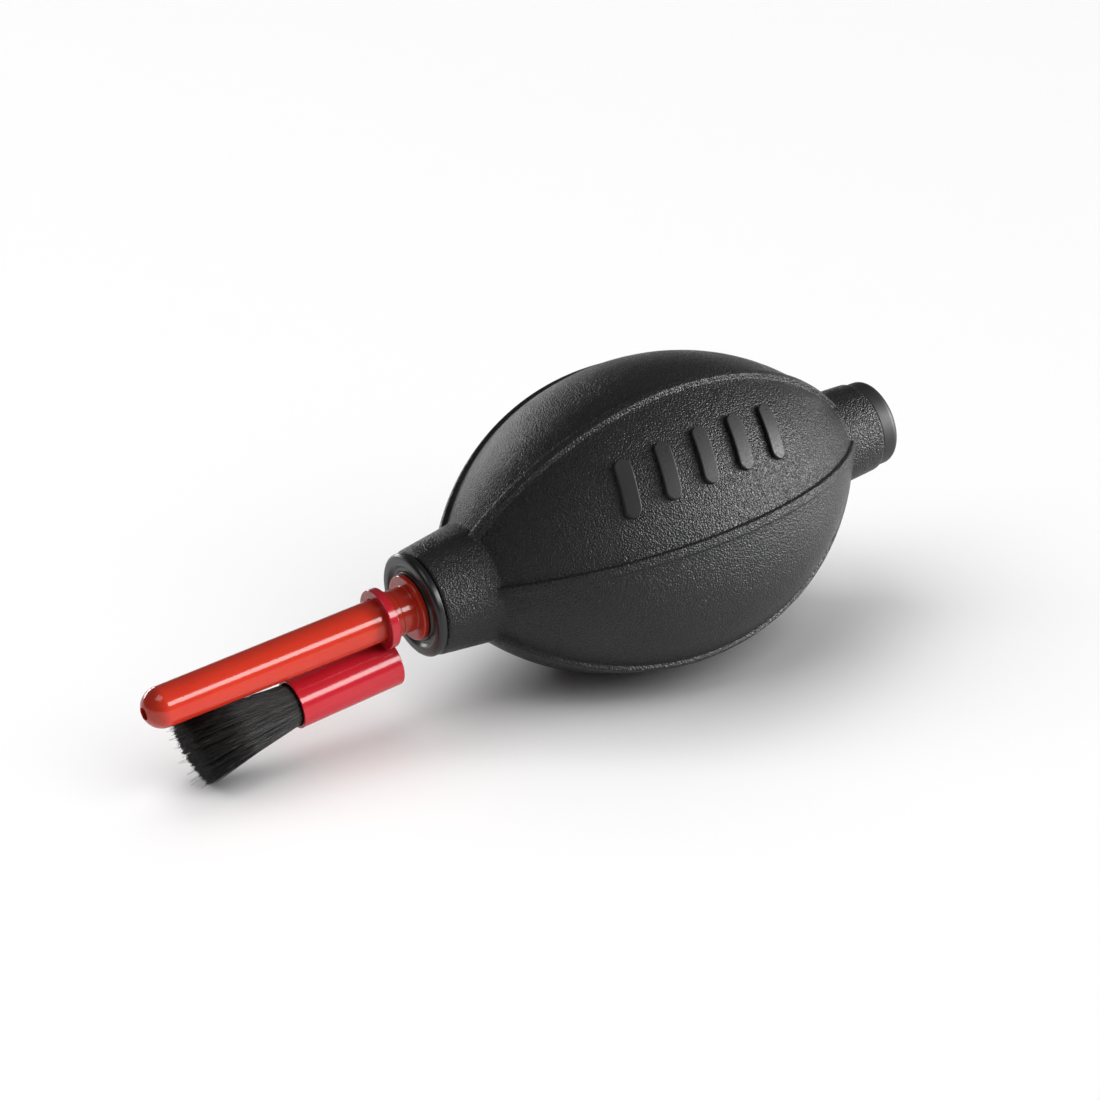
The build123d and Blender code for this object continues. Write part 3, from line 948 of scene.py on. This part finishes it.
# ---- brush ----
@dataclass
class Brush:
    """The brush that slides on the nozzle: ring and ferrule, tied and glued hair.

    The hair spreads from the ferrule's mouth to a slanting front, where each clump keeps together.
    """

    ring_rear_at: float = -62.3
    ring_width: float = 1.9
    ring_radius: float = 6.2
    ring_bore_radius: float = 4.42
    ferrule_rear_at: float = -61.95
    ferrule_drop: float = 10.0
    ferrule_splay: float = 1.84
    ferrule_length: float = 22.8
    ferrule_radius: float = 5.0
    ferrule_bore_radius: float = 4.4
    ferrule_floor: float = 2.5
    resin_end: float = 5.5
    thread_start: float = 8.0
    thread_width: float = 2.5
    thread_depth: float = 0.4
    thread_turns: int = 6
    front_top: tuple[float, float] = (-108.35, -5.0)
    front_bottom: tuple[float, float] = (-104.9, -19.9)
    front_bulge: float = 0.6         # how far the front stands out half way down
    front_half_depth: float = 6.5
    hairs: int = 6300
    stray_hairs: int = 90
    clumps: int = 150
    hair_radius: float = 0.056       # real hair is finer: so drawn, the tuft looks as dense
    hair_gap: float = 0.05           # what the hair leaves free in the ferrule
    clump_pull: float = 0.42         # how far a tip is drawn to the middle of its clump
    tip_scatter: float = 0.2
    length_scatter: float = 0.3
    stray_rim: float = 0.96          # where strays stand, as a share of the ferrule's bore
    stray_range: tuple[float, float] = (0.95, 1.08)
    stray_scatter: float = 0.6
    stray_length: float = 2.4
    tip_taper: float = 0.55
    curl: float = 1.2                # how late a hair leaves the ferrule's direction
    chance: random.Random = field(default_factory=lambda: random.Random(7))

    @property
    def ferrule(self) -> Matrix:
        """From the ferrule's own frame, with X forward from its rear end, to the tool's."""
        splay = radians(self.ferrule_splay)
        turn = Matrix(((-cos(splay), 0, -sin(splay)), (0, -1, 0), (-sin(splay), 0, cos(splay))))
        place = Matrix.Translation((self.ferrule_rear_at, 0, -self.ferrule_drop))
        return place @ turn.transposed().to_4x4()

    def build(self) -> None:
        """Makes the carrier, the binding and the tuft."""
        self.carrier()
        self.binding()
        self.tuft()

    def carrier(self) -> None:
        """Makes the red moulding: the ring round the tube and the ferrule under it."""
        front_at = self.ring_rear_at - self.ring_width
        ring = spun(rounded([
            (front_at, self.ring_bore_radius, 0.15),
            (front_at, self.ring_radius, 0.22),
            (self.ring_rear_at, self.ring_radius, 0.22),
            (self.ring_rear_at, self.ring_bore_radius, 0.15),
        ]), 96)
        ferrule = spun([
            (0.0, 0.0),
            *round_corner((0, self.ferrule_radius), (0, 0), (1, self.ferrule_radius), 0.25),
            *round_corner((self.ferrule_length, self.ferrule_radius), (0, self.ferrule_radius),
                          (self.ferrule_length, 0), 0.14),
            *round_corner((self.ferrule_length, self.ferrule_bore_radius),
                          (self.ferrule_length, self.ferrule_radius),
                          (0, self.ferrule_bore_radius), 0.15),
            (self.ferrule_floor, self.ferrule_bore_radius),
            (self.ferrule_floor, 0.0),
        ], 96)
        bmesh.ops.transform(ferrule, matrix=self.ferrule, verts=ferrule.verts)
        finish_piece(joined([ring, ferrule]), "brush_carrier_moulded", CARRIER_RED, Body.BRUSH,
                     "brush_carrier", flat_faces=True)

    def strands(self, paths: list[list[Vector]], radius: float, sides: int,
                taper: float = 1.0) -> Shape:
        """Makes round strands along paths.

        Args:
            paths: points of each strand, in the tool's frame.
            radius: the strands' radius, in millimetres.
            sides: extra sides of a strand's section; 0 is four-sided.
            taper: the tip's share of the radius.

        Returns:
            The strands with closed ends, in the tool's frame.
        """
        curve = bpy.data.curves.new("strands", "CURVE")
        curve.dimensions = "3D"
        curve.bevel_depth = radius
        curve.bevel_resolution = sides
        curve.use_fill_caps = True
        for path in paths:
            spline = curve.splines.new("POLY")
            spline.points.add(len(path) - 1)
            for number, (point, place) in enumerate(zip(spline.points, path)):
                point.co = (*place, 1.0)
                point.radius = 1 + (taper - 1) * (number / (len(path) - 1)) ** 2
        holder = bpy.data.objects.new("strands", curve)
        mesh = bpy.data.meshes.new_from_object(holder)
        made = bmesh.new()
        made.from_mesh(mesh)
        bpy.data.objects.remove(holder)
        bpy.data.curves.remove(curve)
        bpy.data.meshes.remove(mesh)
        bmesh.ops.remove_doubles(made, verts=made.verts, dist=1e-5)
        return made

    def binding(self) -> None:
        """Winds the thread round the roots of the hair."""
        thread_radius = self.thread_depth / 2
        coil_radius = self.ferrule_bore_radius - self.hair_gap - thread_radius
        points_per_turn = 28
        start = self.thread_start + thread_radius
        pitch = (self.thread_width - self.thread_depth) / self.thread_turns
        path = []
        for number in range(self.thread_turns * points_per_turn + 1):
            turn = 2 * pi * number / points_per_turn
            path.append(self.ferrule @ Vector((start + pitch * turn / (2 * pi),
                                               coil_radius * cos(turn), coil_radius * sin(turn))))
        finish_piece(self.strands([path], thread_radius, 1), "binding_thread", THREAD_LINEN,
                     Body.BRUSH, "tuft_thread")

    def disc_point(self) -> Vector:
        """A point spread evenly over the unit disc."""
        reach, turn = sqrt(self.chance.random()), self.chance.uniform(0, 2 * pi)
        return Vector((reach * cos(turn), reach * sin(turn)))

    def hair_path(self, spot: Vector, tip_spot: Vector, spread: float,
                  longer: float) -> list[Vector]:
        """Runs one hair from its root to its tip.

        Args:
            spot: where it stands in the ferrule, on the unit disc, up first.
            tip_spot: where it ends on the tuft's front, on the unit disc.
            spread: how much it strays, in millimetres.
            longer: how far it ends past the front, in millimetres.

        Returns:
            Its points in the tool's frame.
        """
        bore = self.ferrule_bore_radius
        root_reach = bore - self.hair_gap - self.thread_depth - self.hair_radius
        mouth_reach = bore - 2 * self.hair_gap - self.hair_radius
        root = self.ferrule @ Vector((self.resin_end, -spot.y * root_reach, spot.x * root_reach))
        mouth = self.ferrule @ Vector((self.ferrule_length, -spot.y * mouth_reach,
                                       spot.x * mouth_reach))
        top, bottom = (Vector((at, 0, up)) for at, up in (self.front_top, self.front_bottom))
        front = (top + bottom) / 2 + (top - bottom) / 2 * tip_spot.x
        bulge = self.front_bulge * (1 - tip_spot.length_squared)
        tip = front + Vector((-bulge - longer, tip_spot.y * self.front_half_depth, 0))
        tip += Vector([self.chance.uniform(-spread, spread) for _ in range(3)])
        ahead = self.ferrule.to_3x3() @ Vector((1, 0, 0))
        run = (tip - mouth).dot(ahead)
        aside = tip - mouth - ahead * run
        return [root, mouth] + [mouth + ahead * run * share + aside * share ** self.curl
                                for share in (0.5, 1.0)]

    def tuft(self) -> None:
        """Sets the hair, and rests it on the floor."""
        centres = [self.disc_point() for _ in range(self.clumps)]
        paths = []
        for _ in range(self.hairs):
            spot = self.disc_point()
            nearest = min(centres, key=lambda centre: (centre - spot).length_squared)
            tip_spot = spot.lerp(nearest, self.clump_pull)
            paths.append(self.hair_path(spot, tip_spot, self.tip_scatter,
                                        self.chance.gauss(0.0, self.length_scatter)))
        for _ in range(self.stray_hairs):
            spot = self.disc_point().normalized() * self.stray_rim
            tip_spot = spot * self.chance.uniform(*self.stray_range)
            paths.append(self.hair_path(spot, tip_spot, self.stray_scatter,
                                        self.chance.uniform(0.0, self.stray_length)))
        shape = self.strands(paths, self.hair_radius, 0, self.tip_taper)
        tuft = finish_piece(shape, "bristles", HAIR_BLACK, Body.BRUSH, "bristle_tuft", 180.0)
        for vert in tuft.data.vertices:
            vert.co.z = max(vert.co.z, 0.0)


@dataclass
class HiddenParts:
    """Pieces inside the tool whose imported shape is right, and which only need their finish."""

    finishes: tuple[tuple[str, Finish], ...] = (
        ("tuft_resin", RESIN_AMBER), ("inlet_flap", FLAP_GREY), ("flap_cage", CAGE_WHITE))

    def build(self) -> None:
        """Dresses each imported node."""
        for node, finish in self.finishes:
            piece = frame["nodes"][node]
            piece.data.materials.clear()
            piece.data.materials.append(finish.material())
            log.info("%s: dressed as %s", node, finish.name)


# ---- studio ----
class LitBy(Enum):
    """What a panel falls on: flags keep it off the rest, as in product photography."""

    PIECES = "lit_pieces"
    FLOOR = "lit_floor"


def hang(thing: bpy.types.Object, aim: Vector, azimuth: float, elevation: float,
         distance: float) -> None:
    """Hangs a light or the camera so that it faces a point.

    Args:
        thing: the light or the camera.
        aim: the point, in metres.
        azimuth: degrees round the point, 0 on the row's -Y side and 90 on its +X side.
        elevation: degrees above the floor.
        distance: from the point, in metres.
    """
    turn, rise = radians(azimuth), radians(elevation)
    back = Vector((sin(turn) * cos(rise), -cos(turn) * cos(rise), sin(rise)))
    thing.location = aim + back * distance
    thing.rotation_euler = back.to_track_quat("Z", "Y").to_euler()
    bpy.context.scene.collection.objects.link(thing)


@dataclass(frozen=True)
class SoftLight:
    """A soft studio panel.

    Attributes:
        azimuth, elevation, distance: where it hangs.
        size: width and height of the panel, in metres.
        power: in watts.
        falls_on: what it lights.
    """

    name: str
    azimuth: float
    elevation: float
    distance: float
    size: tuple[float, float]
    power: float
    falls_on: LitBy

    def build(self, aim: Vector) -> None:
        """Hangs the panel so that it faces aim, a point in metres."""
        lamp = bpy.data.lights.new(self.name, "AREA")
        lamp.shape = "RECTANGLE"
        lamp.size, lamp.size_y = self.size
        lamp.energy = self.power
        light = bpy.data.objects.new(self.name, lamp)
        hang(light, aim, self.azimuth, self.elevation, self.distance)
        light.light_linking.receiver_collection = bpy.data.collections[self.falls_on.value]


@dataclass(frozen=True)
class Studio:
    """Camera, pale floor and soft light."""

    azimuth: float = -33.30
    elevation: float = 26.40
    distance: float = 0.7737
    aim: tuple[float, float, float] = (0.00521, 0.0, 0.02912)
    lens: float = 127.5
    sensor: float = 36.0
    sky: float = 0.12                # strength of the room's even light
    floor_size: float = 8.0
    lights: tuple[SoftLight, ...] = (
        SoftLight("key_panel", 28.0, 32.0, 1.8, (0.9, 0.6), 18.0, LitBy.PIECES),
        SoftLight("side_panel", 60.0, 15.0, 1.8, (0.9, 0.9), 70.0, LitBy.PIECES),
        SoftLight("horizon_panel", 184.0, 4.0, 2.0, (1.3, 0.26), 12.0, LitBy.PIECES),
        SoftLight("top_panel", -70.0, 70.0, 2.0, (1.0, 1.0), 8.0, LitBy.PIECES),
        SoftLight("floor_panel", -110.0, 60.0, 4.0, (4.4, 4.4), 146.0, LitBy.FLOOR),
        SoftLight("floor_front_panel", 20.0, 48.0, 4.0, (3.6, 3.6), 74.0, LitBy.FLOOR),
        SoftLight("floor_back_panel", 150.0, 60.0, 4.0, (3.2, 3.2), 34.0, LitBy.FLOOR),
    )

    def build(self) -> None:
        """Puts up the camera, the floor, the lights and the sky, round the finished pieces."""
        for group in LitBy:
            bpy.data.collections.new(group.value)
        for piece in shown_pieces():
            bpy.data.collections[LitBy.PIECES.value].objects.link(piece)
        aim = Vector(self.aim)
        camera = bpy.data.objects.new("camera", bpy.data.cameras.new("camera"))
        hang(camera, aim, self.azimuth, self.elevation, self.distance)
        camera.data.lens = self.lens
        camera.data.sensor_width = self.sensor
        bpy.context.scene.camera = camera
        for light in self.lights:
            light.build(aim)
        self.floor()
        self.room()

    def floor(self) -> None:
        """Lays the floor: a sheet of matt white card."""
        shape = bmesh.new()
        bmesh.ops.create_grid(shape, x_segments=1, y_segments=1, size=self.floor_size / 2)
        mesh = bpy.data.meshes.new("floor")
        shape.to_mesh(mesh)
        shape.free()
        card = bpy.data.materials.new("Matt_white_card")
        card.use_nodes = True
        shader = card.node_tree.nodes["Principled BSDF"]
        shader.inputs["Base Color"].default_value = linear("#F4F4F4")
        shader.inputs["Roughness"].default_value = 0.9
        shader.inputs["Specular IOR Level"].default_value = 0.1
        mesh.materials.append(card)
        floor = bpy.data.objects.new("floor", mesh)
        bpy.context.scene.collection.objects.link(floor)
        bpy.data.collections[LitBy.FLOOR.value].objects.link(floor)
        floor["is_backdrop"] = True

    def room(self) -> None:
        """Fills the room with even white light."""
        world = bpy.data.worlds.new("white_room")
        world.use_nodes = True
        background = world.node_tree.nodes["Background"]
        background.inputs["Color"].default_value = (1.0, 1.0, 1.0, 1.0)
        background.inputs["Strength"].default_value = self.sky
        bpy.context.scene.world = world
        bpy.context.scene.view_settings.view_transform = "Standard"


def main() -> None:
    """Builds the studio and every piece, in order."""
    logging.basicConfig(level=logging.INFO)
    RubberBulb().build()
    FrontBush().build()
    Nozzle().build()
    Brush().build()
    InletPlug().build()
    HiddenParts().build()
    Studio().build()


if __name__ == "__main__":
    main()
